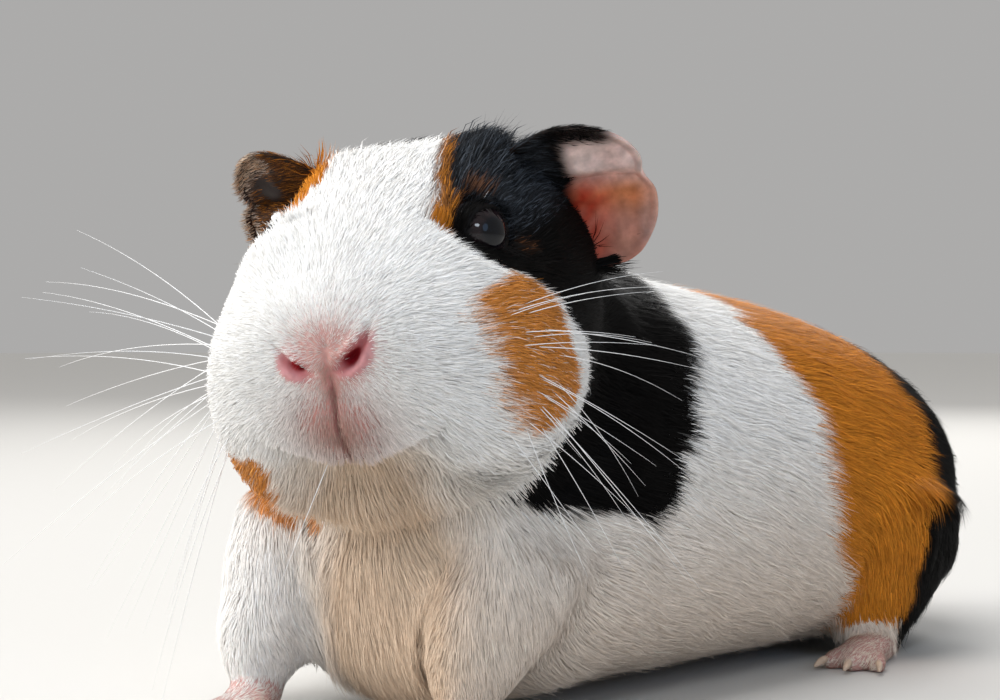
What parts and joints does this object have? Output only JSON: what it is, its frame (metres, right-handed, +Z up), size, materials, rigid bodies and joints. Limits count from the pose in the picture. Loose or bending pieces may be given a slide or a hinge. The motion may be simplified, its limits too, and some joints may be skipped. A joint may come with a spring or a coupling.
{
  "type": "guinea pig",
  "caption": "Still life-size model of a short-haired white, ginger and black guinea pig, crouched on its feet with its head raised and turned to its left.",
  "frame": {"origin": "on the floor under the middle of the animal's box", "axes": "+Z up; the body lies along Y and faces -Y; the animal's left side is +X"},
  "size_m": [0.115, 0.2296, 0.1131],
  "materials": {
    "coat": "short smooth fur in patches of white, ginger and black",
    "bare_skin": "soft pink skin with fine short hairs",
    "ear_skin": "thin smooth skin, darker near the root",
    "eye": "wet gloss, dark brown to black",
    "claw": "smooth horn, slightly see-through"
  },
  "bodies": {
    "root": {"head": "coat", "lower_jaw": "coat", "neck": "coat", "chest": "coat", "trunk": "coat", "rump": "coat", "foreleg_left": "coat", "foreleg_right": "coat", "hindleg_left": "coat", "hindleg_right": "coat", "nose": "bare_skin", "forefoot_left": "bare_skin", "forefoot_right": "bare_skin", "hindfoot_left": "bare_skin", "hindfoot_right": "bare_skin", "ear_left": "ear_skin", "ear_right": "ear_skin", "eye_left": "eye", "eye_right": "eye", "fore_claw_left_1": "claw", "fore_claw_left_2": "claw", "fore_claw_left_3": "claw", "fore_claw_left_4": "claw", "fore_claw_right_1": "claw", "fore_claw_right_2": "claw", "fore_claw_right_3": "claw", "fore_claw_right_4": "claw", "hind_claw_left_1": "claw", "hind_claw_left_2": "claw", "hind_claw_left_3": "claw", "hind_claw_right_1": "claw", "hind_claw_right_2": "claw", "hind_claw_right_3": "claw"}
  },
  "joints": []
}
